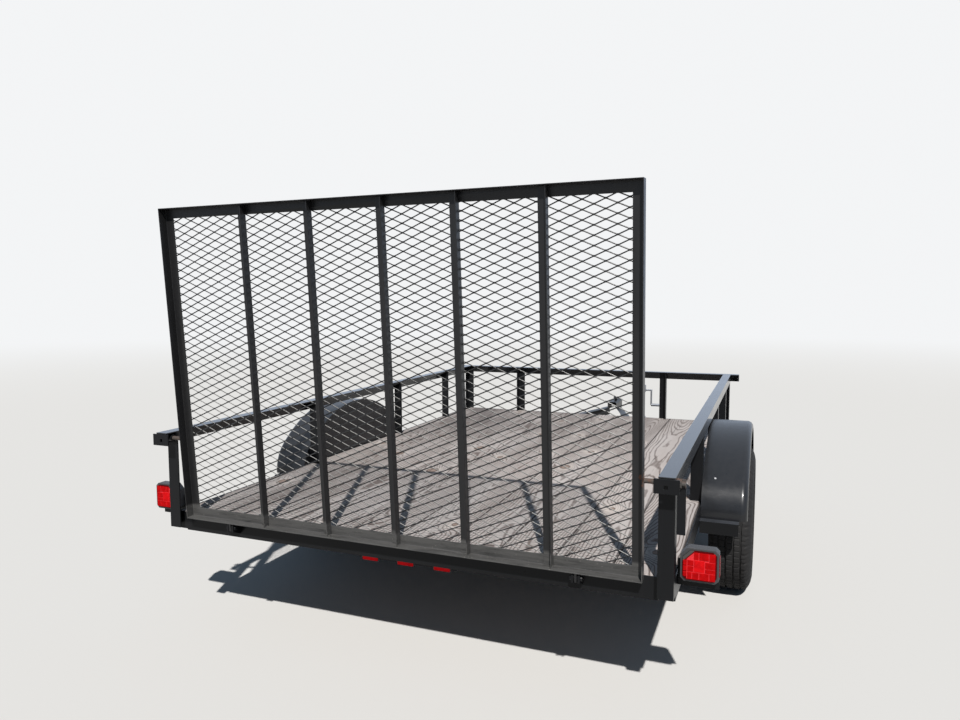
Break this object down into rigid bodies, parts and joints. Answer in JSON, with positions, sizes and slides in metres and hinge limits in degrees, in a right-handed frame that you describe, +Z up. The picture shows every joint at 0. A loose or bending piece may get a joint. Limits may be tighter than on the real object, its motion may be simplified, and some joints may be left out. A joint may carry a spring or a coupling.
{
  "type": "utility trailer",
  "caption": "Single axle utility trailer with an angle steel frame, wooden deck, open side rails, rolled fenders, folding mesh ramp gate and a tongue on a jack.",
  "frame": {"origin": "on the ground, in the middle of the trailer's width and of its whole length", "axes": "+X to the right, +Y forward to the coupler, +Z up"},
  "size_m": [2.428, 4.3842, 1.7498],
  "materials": {
    "black_paint": "satin",
    "weathered_wood": "dry, weathered",
    "spring_steel": "matte",
    "zinc_steel": "dull zinc",
    "grey_plastic": "matte",
    "red_lens": "gloss",
    "tyre_rubber": "matte",
    "rim_paint": "satin"
  },
  "bodies": {
    "frame": {"frame_left": "black_paint", "frame_right": "black_paint", "frame_rear": "black_paint", "frame_front": "black_paint", "floor_joists": "black_paint", "deck_boards": "weathered_wood", "top_rail_left": "black_paint", "top_rail_right": "black_paint", "top_rail_front": "black_paint", "posts_left": "black_paint", "posts_right": "black_paint", "posts_front": "black_paint", "fender_left": "black_paint", "fender_right": "black_paint", "fender_brackets": "black_paint", "axle_beam": "black_paint", "leaf_spring_left": "spring_steel", "leaf_spring_right": "spring_steel", "spring_hangers": "black_paint", "axle_u_bolts": "zinc_steel", "tongue_left": "black_paint", "tongue_right": "black_paint", "coupler": "black_paint", "coupler_latch": "zinc_steel", "jack_tube": "zinc_steel", "jack_crank": "zinc_steel", "hinge_lugs": "black_paint", "latch_plates": "black_paint", "latch_pins": "zinc_steel", "tail_lamps": "grey_plastic", "tail_lenses": "red_lens", "lamp_brackets": "black_paint", "lamp_bar": "black_paint", "bar_lamps": "red_lens"},
    "wheel_left": {"tyre_left": "tyre_rubber", "rim_left": "rim_paint", "hub_left": "zinc_steel"},
    "wheel_right": {"tyre_right": "tyre_rubber", "rim_right": "rim_paint", "hub_right": "zinc_steel"},
    "gate": {"gate_frame": "black_paint", "gate_bars": "black_paint", "gate_mesh": "black_paint", "gate_hinge_ears": "black_paint"},
    "jack_slide": {"jack_leg": "zinc_steel"}
  },
  "joints": [
    {"name": "wheel_left_spin", "type": "hinge", "parent": "frame", "child": "wheel_left", "pos_m": [-1.108, -0.6459, 0.345], "axis": [1, 0, 0], "continuous": true},
    {"name": "wheel_right_spin", "type": "hinge", "parent": "frame", "child": "wheel_right", "pos_m": [1.108, -0.6459, 0.345], "axis": [1, 0, 0], "continuous": true},
    {"name": "gate_hinge", "type": "hinge", "parent": "frame", "child": "gate", "pos_m": [0, -2.0849, 0.497], "axis": [1, 0, 0], "range_deg": [0, 108]},
    {"name": "jack_travel", "type": "slide", "parent": "frame", "child": "jack_slide", "axis": [0, 0, 1], "range_m": [0, 0.18]}
  ]
}
